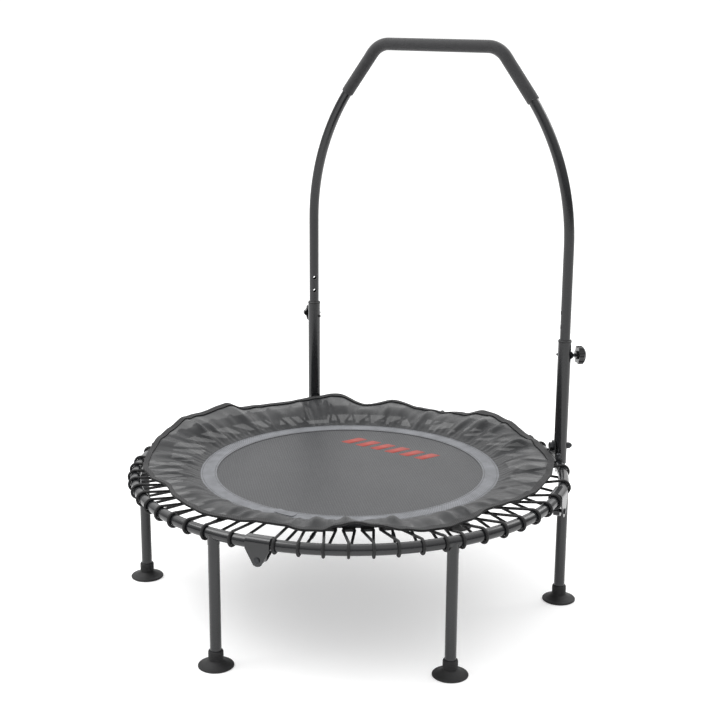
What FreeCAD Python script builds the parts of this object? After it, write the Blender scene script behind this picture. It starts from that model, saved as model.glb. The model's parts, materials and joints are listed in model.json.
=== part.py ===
import FreeCAD, Part
import math
import os

# Mini trampoline with a handlebar. Millimetres, +Z up.
# Origin: on the floor under the centre of the ring. The handlebar stands at +Y.
# Angles are in degrees, counter-clockwise from +X, seen from above.

V = FreeCAD.Vector
UP = V(0, 0, 1)

# ---- driving dimensions -------------------------------------------------
RING_DIAMETER = 994.0     # over the tube
RING_HEIGHT = 290.0       # floor to the tube's centre
FRAME_TUBE = 24.0         # outer diameter of ring, leg and upper handle tubes
TUBE_WALL = 1.5

FIRST_HINGE = 14.0        # angle of the right-hand fold hinge; the others follow every 90
HINGE_WIDTH = 53.0        # length of the saddle along the tube
HINGE_PLATE = 2.5
HINGE_DROP = 31.0         # tube centre down to the pin
HINGE_PIN = 8.0
HINGE_TIP_RADIUS = 13.0   # rounded end of the cheeks round the pin
HINGE_SHOULDER = 8.0      # below the tube's centre, where the plate begins to taper
HINGE_TAPER = 6.0         # of the drop, left out of the taper's slope
HINGE_CROWN = 0.7         # rounding over the tube, as a share of the cheek's distance
TONGUE_HALF = 0.6         # half its width, as a share of the tube's radius
TONGUE_TIP_ROOM = 1.5     # between its tip and the saddle's
TONGUE_END_ROOM = 3.0     # between its far end and the saddle's
PIN_HEAD = 0.8            # head radius, as a share of the pin's diameter
PIN_HEAD_HEIGHT = 3.0
PIN_HEAD_ROUND = 1.8
SOCKET_FLOOR = 1.0        # wall left above the stud's thread
TUBE_END_GAP = 1.0        # between two tube ends in a hinge

LEG_ANGLES = {"right_rear": 28.0, "rear": 90.0, "left_rear": 149.0,
              "left_front": 208.0, "front": 271.0, "right_front": 330.5}
SOCKET_DIAMETER = 25.4
SOCKET_DROP = 10.0        # socket length under the ring tube
STUD = 8.0
STUD_IN_LEG = 14.0
LEG_PLUG = 18.0           # solid threaded end at the top of each leg

FOOT_DIAMETER = 75.0
FOOT_SLEEVE = 30.4
FOOT_HEIGHT = 35.5
FOOT_FLARE = 13.0         # height of the flared cup
FOOT_PAD = 6.0            # rubber under the leg tube
FOOT_RIBS = 5

POST_SPREAD = 46.3        # angle of each post from the +Y axis
POST_OFFSET = 11.4        # post axis outside the ring's centre line
POST_TOP = 576.0
BRACKET_WIDTH = 72.0      # saddle length along the ring
BRACKET_PLATE = 2.5
BRACKET_HANG = 9.0        # inner lip below the ring tube
BRACKET_BOLT_SPACING = 55.0
POST_BOLT_HEIGHT = 37.0   # radial bolt above the ring's centre
BOLT = 8.0                # all machine screws
NUT_FLATS = 13.0

BUSHING_DEPTH = 40.0
BUSHING_RIM = 5.0
BUSHING_OVERHANG = 0.5
BUSHING_TAIL = 8.0        # below its guiding depth
BUSHING_CHAMFER = 1.5
PEG_RADIUS = 3.0          # peg that snaps through the post's wall
PEG_PROUD = 2.5
PEG_ROOT = 0.8            # overlap of the peg and the sleeve
BUSHING_WALL = 1.45       # between the sliding tube and the lower post
LOCK_DROP = 32.0          # lock screw below the post's top
HOLE_PITCH = 33.5
HOLE_DIAMETER = 8.6
HOLES_ABOVE = 3           # holes above the one that is pinned
HOLES_BELOW = 1
LOCK_TRAVEL = 5.0
LOCK_TIP_GAP = 0.3        # withdrawn tip to the upper tube
KNOB_DIAMETER = 44.0
KNOB_THICKNESS = 21.0
KNOB_LOBES = 6
BOSS_LENGTH = 4.0
BOSS_BASE_R = 12.0
BOSS_TIP_R = 7.0
BOSS_SINK = 3.0           # of the boss, inside the post's outline
SCREW_IN_KNOB = 14.0
KNOB_NECK = 4.0           # hub between the knob's back and its lobes
KNOB_CORE = 0.40          # radii as shares of the knob's diameter
KNOB_LOBE_AT = 0.36
KNOB_LOBE = 0.14
KNOB_DOME = 0.66
KNOB_HUB = 0.22

HANDLE_TOP = 1232.0       # centre of the top bar above the floor
ARC_RADIUS = 542.0        # long sweep of the uprights
ARC_ANGLE = 38.0
BEND_RADIUS = 58.6
TOP_HALF = 136.0          # straight half of the top bar
JOINER_LENGTH = 120.0
GRIP_WALL = 2.8
GRIP_START = 36.0         # angle on the sweep where the foam begins
GRIP_SEAM = -30.0         # x of the seam between the two foam sleeves

MAT_RADIUS = 366.0        # sewn edge, under the webbing
MAT_THICKNESS = 1.6
BAND_WIDTH = 64.0
BAND_THICKNESS = 1.5
STITCH_SINK = 0.2         # the webbing's stitches press the mat's edge down
SKIRT_RADIUS = 455.0
SKIRT_RISE = 24.0
SKIRT_THICKNESS = 2.0
SKIRT_HEM = 26.0          # width sewn down on the webbing
FOLD_SLIT = 0.6           # between the two halves of the soft parts

CORD = 6.0
CORD_PITCH = 6.1          # degrees between wraps, before they are evened out
CORD_SPREAD = 1.8         # degrees from a wrap to each of its two strands at the mat
LOOP_LENGTH = 14.0        # webbing loop beyond the mat's edge
LOOP_HALF = 2.05          # degrees, half of a loop's width
LOOP_THICKNESS = 8.0
LOOP_TAIL = 26.0

RUN = 0.05                # radial running clearance of pins and screws
CUT_REACH = 30.0          # cutting tools reach this far past a part's middle
CUT_ARC = 10.0            # degrees of ring tube cut out each side of a fitting
SLIDE = 0.25              # radial clearance of the sliding tube in its bushing
CURVE_ROOM = 1.2          # room between a cheek and the tube, for the ring's curve

# ---- dependent dimensions -----------------------------------------------
POST_TUBE = FRAME_TUBE + 2 * (SLIDE + BUSHING_WALL + TUBE_WALL)   # outer diameter of the lower posts
TUBE_R = FRAME_TUBE / 2
POST_R = POST_TUBE / 2
RING_R = (RING_DIAMETER - FRAME_TUBE) / 2
POST_RADIUS = RING_R + POST_OFFSET
HINGES = {"right": FIRST_HINGE, "rear": FIRST_HINGE + 90,
          "left": FIRST_HINGE + 180, "front": FIRST_HINGE + 270}
POSTS = {"right": 90 - POST_SPREAD, "left": 90 + POST_SPREAD}
CHEEK_IN = TUBE_R + CURVE_ROOM
CHEEK_OUT = CHEEK_IN + HINGE_PLATE
LEG_TOP = RING_HEIGHT - TUBE_R - SOCKET_DROP
LOCK_Z = POST_TOP - LOCK_DROP
MAT_TOP = RING_HEIGHT + MAT_THICKNESS / 2
HEM_TOP = MAT_TOP - STITCH_SINK
BAND_TOP = HEM_TOP + BAND_THICKNESS
SEAM_RADIUS = MAT_RADIUS - SKIRT_HEM
WRAP_R = TUBE_R + CORD / 2 + RUN
LOOP_OUT = MAT_RADIUS + LOOP_LENGTH
WASHER_R = NUT_FLATS * 0.62
WASHER_THICKNESS = 1.5
NUT_HEIGHT = 8.0          # washer and nut together
DOME_R = NUT_FLATS * 0.46
SCREW_HEAD = 4.0


# ---- helpers ------------------------------------------------------------
def polar(radius, angle, z=0.0):
    a = math.radians(angle)
    return V(radius * math.cos(a), radius * math.sin(a), z)


def cylinder(radius, start, end):
    return Part.makeCylinder(radius, (end - start).Length, start, end - start)


def tube(outer, inner, start, end):
    return cylinder(outer, start, end).cut(cylinder(inner, start, end))


def turned(shape, angle):
    """The shape, made at angle 0, turned about the trampoline's axis."""
    out = shape.copy()
    out.rotate(V(0, 0, 0), UP, angle)
    return out


def revolved(points, start=0.0, sweep=360.0):
    """A ring whose section is a closed outline of (radius, z) points."""
    outline = Part.makePolygon([V(r, 0, z) for r, z in points + points[:1]])
    solid = Part.Face(outline).revolve(V(0, 0, 0), UP, sweep)
    return turned(solid, start)


def torus_arc(ring, section, z, start=0.0, sweep=360.0):
    circle = Part.Wire(Part.Circle(V(ring, 0, z), V(0, 1, 0), section).toShape())
    return turned(Part.Face(circle).revolve(V(0, 0, 0), UP, sweep), start)


def box(x0, x1, y0, y1, z0, z1):
    return Part.makeBox(x1 - x0, y1 - y0, z1 - z0, V(x0, y0, z0))


def hexagon(flats, start, end):
    """A hexagonal prism between two points."""
    axis = (end - start).normalize()
    side = axis.cross(UP) if abs(axis.z) < 0.9 else V(1, 0, 0)
    side.normalize()
    other = axis.cross(side)
    r = flats / math.sqrt(3)
    ring = [start + side * (r * math.cos(math.radians(60 * i)))
            + other * (r * math.sin(math.radians(60 * i))) for i in range(7)]
    return Part.Face(Part.makePolygon(ring)).extrude(end - start)


def cap_nut(start, direction):
    """A domed nut standing on a washer, from a face outward."""
    d = V(direction).normalize()
    washer = cylinder(WASHER_R, start, start + d * WASHER_THICKNESS)
    body = hexagon(NUT_FLATS, start + d * WASHER_THICKNESS, start + d * NUT_HEIGHT)
    dome = Part.makeSphere(DOME_R, start + d * NUT_HEIGHT, d, 0, 90, 360)
    return washer.fuse(body).fuse(dome)


def group(solids):
    return Part.makeCompound(solids)


def export(name, shape):
    shape.exportStep("parts/%s.step" % name)
    print("%-26s %3d solids %10.0f mm3" % (name, len(shape.Solids), shape.Volume))


# ---- folding ring -------------------------------------------------------
def ring_quarter(start):
    """One quarter of the ring's tube, from one hinge to the next."""
    outer = torus_arc(RING_R, TUBE_R, RING_HEIGHT, start, 90)
    quarter = outer.cut(torus_arc(RING_R, TUBE_R - TUBE_WALL, RING_HEIGHT, start, 90))
    reach = RING_R + POST_TUBE
    gap = box(0, reach, -TUBE_END_GAP / 2, TUBE_END_GAP / 2, 0, 2 * RING_HEIGHT)
    quarter = quarter.cut(turned(gap, start)).cut(turned(gap, start + 90))
    return quarter


def ring_core(angle, radius=TUBE_R):
    """A solid stretch of the ring at this angle, to cut a fitting's seat with."""
    return torus_arc(RING_R, radius, RING_HEIGHT, angle - CUT_ARC, 2 * CUT_ARC)


def bracket_holes(angle):
    """The two upright screw holes of a post bracket."""
    half = math.degrees(BRACKET_BOLT_SPACING / 2 / RING_R)
    return [cylinder(BOLT / 2 + RUN, polar(RING_R, angle + s * half, RING_HEIGHT - 2 * TUBE_R),
                     polar(RING_R, angle + s * half, RING_HEIGHT + 2 * TUBE_R)) for s in (-1, 1)]


def hinge_side(room, top, tip):
    """Side outline of a hinge plate, in the plane across its pin: (y, z)."""
    half = HINGE_WIDTH / 2 - room
    pin_z = RING_HEIGHT - HINGE_DROP
    slope = math.atan2(half, HINGE_DROP - HINGE_TAPER)
    left = V(0, -tip * math.cos(slope), pin_z - tip * math.sin(slope))
    right = V(0, tip * math.cos(slope), pin_z - tip * math.sin(slope))
    corners = [V(0, right.y, right.z), V(0, half, RING_HEIGHT - HINGE_SHOULDER), V(0, half, top),
               V(0, -half, top), V(0, -half, RING_HEIGHT - HINGE_SHOULDER), V(0, left.y, left.z)]
    edges = [Part.LineSegment(a, b).toShape() for a, b in zip(corners, corners[1:])]
    edges.append(Part.Arc(left, V(0, 0, pin_z - tip), right).toShape())
    return Part.Face(Part.Wire(edges))


def hinge_saddle(side):
    """Channel over the joint, at angle 0. It is welded to the tube on the side +1 or -1."""
    face = hinge_side(0, RING_HEIGHT + CHEEK_OUT, HINGE_TIP_RADIUS)
    face.translate(V(RING_R - CHEEK_OUT, 0, 0))
    solid = face.extrude(V(2 * CHEEK_OUT, 0, 0))
    long_edges = [e for e in solid.Edges if abs(e.BoundBox.ZMin - RING_HEIGHT - CHEEK_OUT) < 0.01
                  and e.BoundBox.YLength > HINGE_WIDTH - 1]
    solid = solid.makeFillet(CHEEK_OUT * HINGE_CROWN, long_edges)
    wide = HINGE_WIDTH
    below = box(RING_R - CHEEK_IN, RING_R + CHEEK_IN, -wide, wide, 0, RING_HEIGHT)
    round_room = cylinder(CHEEK_IN, V(RING_R, 0, RING_HEIGHT), V(RING_R, -side * wide, RING_HEIGHT))
    solid = solid.cut(below).cut(round_room)
    solid = solid.cut(ring_core(0))
    pin_z = RING_HEIGHT - HINGE_DROP
    return solid.cut(cylinder(HINGE_PIN / 2, V(RING_R - CUT_REACH, 0, pin_z),
                              V(RING_R + CUT_REACH, 0, pin_z)))


def hinge_tongue(side):
    """Plate under the free tube end, at angle 0, between the cheeks on the pin."""
    pin_z = RING_HEIGHT - HINGE_DROP
    half = TUBE_R * TONGUE_HALF
    tip = HINGE_TIP_RADIUS - TONGUE_TIP_ROOM
    far = -side * (HINGE_WIDTH / 2 - TONGUE_END_ROOM)
    plate = Part.makePolygon([V(RING_R - half, 0, pin_z), V(RING_R - half, far, RING_HEIGHT - 9),
                              V(RING_R - half, far, RING_HEIGHT), V(RING_R - half, -side, RING_HEIGHT),
                              V(RING_R - half, -side, pin_z + tip), V(RING_R - half, 0, pin_z)])
    solid = Part.Face(plate).extrude(V(2 * half, 0, 0))
    eye = cylinder(tip, V(RING_R - half, 0, pin_z), V(RING_R + half, 0, pin_z))
    solid = solid.fuse(eye).removeSplitter()
    solid = solid.cut(ring_core(0))
    hole = cylinder(HINGE_PIN / 2 + RUN, V(RING_R - CUT_REACH, 0, pin_z), V(RING_R + CUT_REACH, 0, pin_z))
    return solid.cut(hole)


def hinge_pin():
    """Rivet through both cheeks, at angle 0, with a head on each side."""
    pin_z = RING_HEIGHT - HINGE_DROP
    inner, outer = RING_R - CHEEK_OUT, RING_R + CHEEK_OUT
    shank = cylinder(HINGE_PIN / 2, V(inner, 0, pin_z), V(outer, 0, pin_z))
    head = HINGE_PIN * PIN_HEAD
    for x, way in ((inner, -1), (outer, 1)):
        button = cylinder(head, V(x, 0, pin_z), V(x + way * PIN_HEAD_HEIGHT, 0, pin_z))
        end = x + way * PIN_HEAD_HEIGHT
        rim = [e for e in button.Edges if abs(e.BoundBox.XMin - end) < 0.01
               and abs(e.BoundBox.XMax - end) < 0.01]
        shank = shank.fuse(button.makeFillet(PIN_HEAD_ROUND, rim))
    return shank


# ---- legs ---------------------------------------------------------------
def leg(angle):
    outer = cylinder(TUBE_R, polar(RING_R, angle, FOOT_PAD), polar(RING_R, angle, LEG_TOP))
    bore = cylinder(TUBE_R - TUBE_WALL, polar(RING_R, angle, FOOT_PAD),
                    polar(RING_R, angle, LEG_TOP - LEG_PLUG))
    thread = cylinder(STUD / 2, polar(RING_R, angle, LEG_TOP - STUD_IN_LEG),
                      polar(RING_R, angle, LEG_TOP))
    return outer.cut(bore).cut(thread)


def leg_socket(angle):
    """Threaded boss welded under the ring."""
    boss = cylinder(SOCKET_DIAMETER / 2, polar(RING_R, angle, LEG_TOP), polar(RING_R, angle, RING_HEIGHT))
    boss = boss.cut(ring_core(angle))
    thread = cylinder(STUD / 2, polar(RING_R, angle, LEG_TOP),
                      polar(RING_R, angle, LEG_TOP + SOCKET_DROP - SOCKET_FLOOR))
    return boss.cut(thread)


def leg_stud(angle):
    return cylinder(STUD / 2, polar(RING_R, angle, LEG_TOP - STUD_IN_LEG),
                    polar(RING_R, angle, LEG_TOP + SOCKET_DROP - SOCKET_FLOOR))


def foot(angle):
    """Rubber foot: a ribbed sleeve over the leg and a flared cup on the floor."""
    sleeve = FOOT_SLEEVE / 2
    rim = FOOT_DIAMETER / 2
    rib = 0.7
    step = (FOOT_HEIGHT - FOOT_FLARE - 4) / FOOT_RIBS
    points = [(TUBE_R, FOOT_PAD), (0.01, FOOT_PAD), (0.01, 0), (rim - 1.5, 0), (rim, 1.2), (rim, 3.0),
              (rim - 1.0, 4.2), (rim * 0.78, 6.2), (rim * 0.6, FOOT_FLARE * 0.72),
              (sleeve + 2.2, FOOT_FLARE)]
    for i in range(FOOT_RIBS):
        z = FOOT_FLARE + 2 + i * step
        points += [(sleeve, z), (sleeve + rib, z + step * 0.3), (sleeve + rib, z + step * 0.6),
                   (sleeve, z + step * 0.9)]
    points += [(sleeve, FOOT_HEIGHT - 1.2), (sleeve - 1.0, FOOT_HEIGHT), (TUBE_R, FOOT_HEIGHT)]
    solid = revolved(points)
    solid.translate(polar(RING_R, angle))
    return solid


# ---- posts and their brackets ------------------------------------------
def post_bracket():
    """Saddle over the ring with an upright plate behind the post, at angle 0."""
    half = BRACKET_WIDTH / 2
    outer = TUBE_R + BRACKET_PLATE
    ways = math.degrees(half / RING_R)
    saddle = torus_arc(RING_R, outer, RING_HEIGHT, -ways, 2 * ways)
    saddle = saddle.cut(box(0, RING_R * 2, -half * 2, half * 2, 0, RING_HEIGHT))
    lip_in = RING_R * math.cos(math.radians(ways)) - outer
    lip = box(lip_in, lip_in + BRACKET_PLATE, -half * 0.8, half * 0.8,
              RING_HEIGHT - TUBE_R - BRACKET_HANG, RING_HEIGHT + 3)
    face = POST_RADIUS - POST_R
    top = RING_HEIGHT + POST_BOLT_HEIGHT + NUT_FLATS
    foot_half = BRACKET_BOLT_SPACING / 2 - WASHER_R - 0.5
    side = [(foot_half, RING_HEIGHT), (foot_half, RING_HEIGHT + outer + 3),
            (NUT_FLATS * 0.85, top - 3), (NUT_FLATS * 0.4, top)]
    outline = [V(face, y, z) for y, z in side] + [V(face, -y, z) for y, z in reversed(side)]
    upright = Part.Face(Part.makePolygon(outline + outline[:1])).extrude(V(-BRACKET_PLATE, 0, 0))
    solid = saddle.fuse(lip).fuse(upright).removeSplitter()
    solid = solid.cut(ring_core(0))
    z = RING_HEIGHT + POST_BOLT_HEIGHT
    solid = solid.cut(cylinder(BOLT / 2, V(face - CUT_REACH, 0, z), V(face + CUT_REACH, 0, z)))
    for hole in bracket_holes(0):
        solid = solid.cut(hole)
    return solid


def lower_post(side):
    """Post tube at its angle, coped over the saddle, with its three kinds of hole."""
    angle = POSTS[side]
    axis = polar(POST_RADIUS, angle)
    solid = tube(POST_R, POST_R - TUBE_WALL, axis + V(0, 0, RING_HEIGHT - 4), axis + V(0, 0, POST_TOP))
    solid = solid.cut(ring_core(angle, TUBE_R + BRACKET_PLATE))
    solid = solid.cut(turned(cylinder(BOLT / 2, V(POST_RADIUS - CUT_REACH, 0, RING_HEIGHT + POST_BOLT_HEIGHT),
                                      V(POST_RADIUS + CUT_REACH, 0, RING_HEIGHT + POST_BOLT_HEIGHT)), angle))
    solid = solid.cut(turned(cylinder(BOLT / 2 + RUN, V(POST_RADIUS, 0, LOCK_Z),
                                      V(POST_RADIUS + CUT_REACH, 0, LOCK_Z)), angle))
    return solid.cut(bushing_button(side))


def bushing_button(side):
    """Peg of the bushing that snaps through the post's wall, facing the other post."""
    start = polar(POST_RADIUS, POSTS[side], LOCK_Z)
    way = V(-1, 0, 0) if side == "right" else V(1, 0, 0)
    peg = cylinder(PEG_RADIUS, start + way * (POST_R - TUBE_WALL - PEG_ROOT),
                   start + way * (POST_R + PEG_PROUD))
    tip = Part.makeSphere(PEG_RADIUS, start + way * (POST_R + PEG_PROUD), way, 0, 90, 360)
    return peg.fuse(tip).removeSplitter()


def bushing(side):
    """Plastic sleeve in the post's top that guides the upper tube."""
    angle = POSTS[side]
    axis = polar(POST_RADIUS, angle)
    bore = TUBE_R + SLIDE
    rim_r = POST_R + BUSHING_OVERHANG
    foot = POST_TOP - BUSHING_DEPTH - BUSHING_TAIL
    profile = [(bore, foot), (POST_R - TUBE_WALL, foot),
               (POST_R - TUBE_WALL, POST_TOP), (rim_r, POST_TOP),
               (rim_r, POST_TOP + BUSHING_RIM - BUSHING_CHAMFER),
               (rim_r - BUSHING_CHAMFER, POST_TOP + BUSHING_RIM), (bore, POST_TOP + BUSHING_RIM)]
    solid = revolved(profile)
    solid.translate(axis)
    solid = solid.fuse(bushing_button(side)).removeSplitter()
    screw = turned(cylinder(BOLT / 2 + RUN, V(POST_RADIUS, 0, LOCK_Z), V(POST_RADIUS + CUT_REACH, 0, LOCK_Z)),
                   angle)
    return solid.cut(screw)


def bracket_fasteners(angle):
    """Two upright screws through the ring and one radial screw through the post."""
    solids = []
    half = math.degrees(BRACKET_BOLT_SPACING / 2 / RING_R)
    for s in (-1, 1):
        top = polar(RING_R, angle + s * half, RING_HEIGHT + TUBE_R + BRACKET_PLATE)
        base = polar(RING_R, angle + s * half, RING_HEIGHT - TUBE_R)
        screw = cylinder(BOLT / 2, base, top)
        head = cylinder(NUT_FLATS / 2, base - V(0, 0, SCREW_HEAD), base)
        solids.append(screw.fuse(cap_nut(top, UP)).fuse(head).removeSplitter())
    z = RING_HEIGHT + POST_BOLT_HEIGHT
    inner = POST_RADIUS - POST_R - BRACKET_PLATE
    outer = POST_RADIUS + POST_R
    screw = cylinder(BOLT / 2, V(inner, 0, z), V(outer, 0, z))
    nut = cap_nut(V(outer - 1.2, 0, z), V(1, 0, 0)).cut(cylinder(POST_R, V(POST_RADIUS, 0, z - CUT_REACH),
                                                             V(POST_RADIUS, 0, z + CUT_REACH)))
    head = cylinder(NUT_FLATS * 0.8, V(inner - 2, 0, z), V(inner, 0, z))
    wheel = hexagon(NUT_FLATS * 1.3, V(inner - 9, 0, z), V(inner - 2, 0, z))
    solids.append(turned(screw.fuse(nut).fuse(head).fuse(wheel).removeSplitter(), angle))
    return solids


def lock_boss(side):
    """Flared threaded boss welded to the outside of the post."""
    start, end = POST_RADIUS + POST_R - BOSS_SINK, POST_RADIUS + POST_R + BOSS_LENGTH
    cone = Part.makeCone(BOSS_BASE_R, BOSS_TIP_R, end - start, V(start, 0, LOCK_Z), V(1, 0, 0))
    cone = cone.cut(cylinder(POST_R, V(POST_RADIUS, 0, LOCK_Z - CUT_REACH),
                              V(POST_RADIUS, 0, LOCK_Z + CUT_REACH)))
    cone = cone.cut(cylinder(BOLT / 2 + RUN, V(POST_RADIUS, 0, LOCK_Z), V(end + CUT_REACH, 0, LOCK_Z)))
    return turned(cone, POSTS[side])


# ---- lock screws --------------------------------------------------------
SCREW_TIP = POST_RADIUS + TUBE_R + LOCK_TIP_GAP
KNOB_BACK = POST_RADIUS + POST_R + BOSS_LENGTH + LOCK_TRAVEL + 2


def lock_screw(side):
    """Lock screw, withdrawn from the upper tube, with a collar behind the knob."""
    shank = cylinder(BOLT / 2, V(SCREW_TIP, 0, LOCK_Z), V(KNOB_BACK + SCREW_IN_KNOB, 0, LOCK_Z))
    tip = [e for e in shank.Edges if abs(e.BoundBox.XMax - SCREW_TIP) < 0.01]
    return turned(shank.makeFillet(0.8, tip), POSTS[side])


def lock_knob(side):
    """Lobed hand knob that turns on the screw's end."""
    body_start = KNOB_BACK + KNOB_NECK
    end = body_start + KNOB_THICKNESS
    core = cylinder(KNOB_DIAMETER * KNOB_CORE, V(body_start, 0, LOCK_Z), V(end, 0, LOCK_Z))
    for i in range(KNOB_LOBES):
        a = math.radians(360 / KNOB_LOBES * i)
        y, z = math.cos(a), math.sin(a)
        at = KNOB_DIAMETER * KNOB_LOBE_AT
        lobe = cylinder(KNOB_DIAMETER * KNOB_LOBE, V(body_start, y * at, LOCK_Z + z * at),
                        V(end, y * at, LOCK_Z + z * at))
        core = core.fuse(lobe)
    dome = Part.makeSphere(KNOB_DIAMETER * KNOB_DOME, V(end - KNOB_DIAMETER * KNOB_DOME, 0, LOCK_Z))
    core = core.common(dome)
    hub = cylinder(KNOB_DIAMETER * KNOB_HUB, V(KNOB_BACK, 0, LOCK_Z), V(body_start + 1, 0, LOCK_Z))
    solid = core.fuse(hub).removeSplitter()
    bore = cylinder(BOLT / 2 + RUN, V(0, 0, LOCK_Z), V(KNOB_BACK + SCREW_IN_KNOB + RUN, 0, LOCK_Z))
    return turned(solid.cut(bore), POSTS[side])


# ---- handlebar ----------------------------------------------------------
def arch_points():
    """Corner places of the right half of the arch, in its own (x, z) plane."""
    x0 = polar(POST_RADIUS, POSTS["right"]).x
    a = math.radians(ARC_ANGLE)
    arc_x = ARC_RADIUS * (1 - math.cos(a))
    bend_x = BEND_RADIUS * math.cos(a)
    shoulder = (x0 - arc_x - bend_x - TOP_HALF) / math.sin(a)
    bend_z = BEND_RADIUS * (1 - math.sin(a))
    arc_start = HANDLE_TOP - bend_z - shoulder * math.cos(a) - ARC_RADIUS * math.sin(a)
    return x0, arc_start, shoulder


def arch_path(bottom, sweep_from, end_x):
    """Centre line of the right half, as tangent lines and arcs in one wire.

    bottom is the foot's height, or None to begin on the sweep at sweep_from degrees."""
    x0, arc_start, shoulder = arch_points()
    y = polar(POST_RADIUS, POSTS["right"]).y
    a = math.radians(ARC_ANGLE)

    def on_sweep(deg):
        t = math.radians(deg)
        return V(x0 - ARC_RADIUS * (1 - math.cos(t)), y, arc_start + ARC_RADIUS * math.sin(t))

    edges = []
    first = on_sweep(sweep_from)
    if bottom is not None:
        edges.append(Part.LineSegment(V(x0, y, bottom), first).toShape())
    sweep_end = on_sweep(ARC_ANGLE)
    edges.append(Part.Arc(first, on_sweep((sweep_from + ARC_ANGLE) / 2), sweep_end).toShape())
    bend_start = sweep_end + V(-math.sin(a), 0, math.cos(a)) * shoulder
    edges.append(Part.LineSegment(sweep_end, bend_start).toShape())
    centre = V(TOP_HALF, y, HANDLE_TOP - BEND_RADIUS)
    middle = (a + math.pi / 2) / 2
    bend_mid = centre + V(math.cos(middle), 0, math.sin(middle)) * BEND_RADIUS
    bend_end = V(TOP_HALF, y, HANDLE_TOP)
    edges.append(Part.Arc(bend_start, bend_mid, bend_end).toShape())
    edges.append(Part.LineSegment(bend_end, V(end_x, y, HANDLE_TOP)).toShape())
    return Part.Wire(edges)


def pipe(path, radius):
    start = path.Edges[0]
    direction = start.tangentAt(start.FirstParameter)
    circle = Part.Wire(Part.Circle(start.valueAt(start.FirstParameter), direction, radius).toShape())
    return path.makePipeShell([circle], True, False)


def mirrored(shape):
    return shape.mirror(V(0, 0, 0), V(1, 0, 0))


def upper_tube():
    """Right half of the handlebar's tube, with its row of lock holes."""
    bottom = LOCK_Z - (HOLES_BELOW + 0.9) * HOLE_PITCH
    path = arch_path(bottom, 0.0, 0.0)
    solid = pipe(path, TUBE_R).cut(pipe(path, TUBE_R - TUBE_WALL))
    for i in range(-HOLES_BELOW, HOLES_ABOVE + 1):
        z = LOCK_Z + i * HOLE_PITCH
        hole = cylinder(HOLE_DIAMETER / 2, V(POST_RADIUS - CUT_REACH, 0, z), V(POST_RADIUS + CUT_REACH, 0, z))
        hole = turned(hole, POSTS["right"])
        solid = solid.cut(hole)
    return solid


def grip(sign):
    """Foam sleeve over one shoulder of the arch; both meet at the seam."""
    path = arch_path(None, GRIP_START, sign * GRIP_SEAM)
    solid = pipe(path, TUBE_R + GRIP_WALL).cut(pipe(path, TUBE_R))
    return solid if sign > 0 else mirrored(solid)


def joiner():
    y = polar(POST_RADIUS, POSTS["right"]).y
    half = JOINER_LENGTH / 2
    return tube(TUBE_R - TUBE_WALL, TUBE_R - 2 * TUBE_WALL, V(-half, y, HANDLE_TOP), V(half, y, HANDLE_TOP))


# ---- soft parts ---------------------------------------------------------
def half_of(shape, name):
    """The rear or front half of a round soft part, beside the fold line."""
    reach = RING_DIAMETER
    low, high = (FOLD_SLIT / 2, reach) if name == "rear" else (-reach, -FOLD_SLIT / 2)
    return shape.common(turned(box(-reach, reach, low, high, 0, 2 * RING_HEIGHT), FIRST_HINGE))


def mat():
    bottom = V(0, 0, RING_HEIGHT - MAT_THICKNESS / 2)
    hem = cylinder(MAT_RADIUS, bottom, V(0, 0, HEM_TOP))
    return hem.fuse(cylinder(MAT_RADIUS - BAND_WIDTH - RUN, bottom, V(0, 0, MAT_TOP)))


def band():
    return tube(MAT_RADIUS, MAT_RADIUS - BAND_WIDTH, V(0, 0, HEM_TOP), V(0, 0, BAND_TOP))


def skirt():
    t = SKIRT_THICKNESS
    lift = LOOP_THICKNESS / 2 + 1
    lower = [(SEAM_RADIUS, BAND_TOP), (MAT_RADIUS - 2, BAND_TOP), (MAT_RADIUS, RING_HEIGHT + lift),
             (LOOP_OUT, RING_HEIGHT + lift + 2), (SKIRT_RADIUS, RING_HEIGHT + SKIRT_RISE)]
    upper = [(r, z + t) for r, z in reversed(lower)]
    return revolved(lower + upper)


# ---- bungee cords -------------------------------------------------------
def cord_bays():
    """Free stretches of the ring, between hinges, leg sockets and post brackets."""
    half_cord = CORD
    blocks = [(a, HINGE_WIDTH / 2 + half_cord) for a in HINGES.values()]
    blocks += [(a, SOCKET_DIAMETER / 2 + half_cord) for a in LEG_ANGLES.values()]
    blocks += [(a, BRACKET_WIDTH / 2 + half_cord) for a in POSTS.values()]
    blocks = sorted((a % 360, math.degrees(w / RING_R)) for a, w in blocks)
    bays = []
    for (a, half_a), (b, half_b) in zip(blocks, blocks[1:] + [(blocks[0][0] + 360, blocks[0][1])]):
        bays.append((a + half_a, b - half_b))
    return bays


def wrap_angles():
    """Angles of the cord's turns round the tube, evened out in each bay."""
    angles = []
    for start, end in cord_bays():
        count = max(1, round((end - start) / CORD_PITCH))
        if count == 1:
            angles.append((start + end) / 2)
        else:
            angles += [start + (end - start) * i / count for i in range(count + 1)]
    return angles


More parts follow.
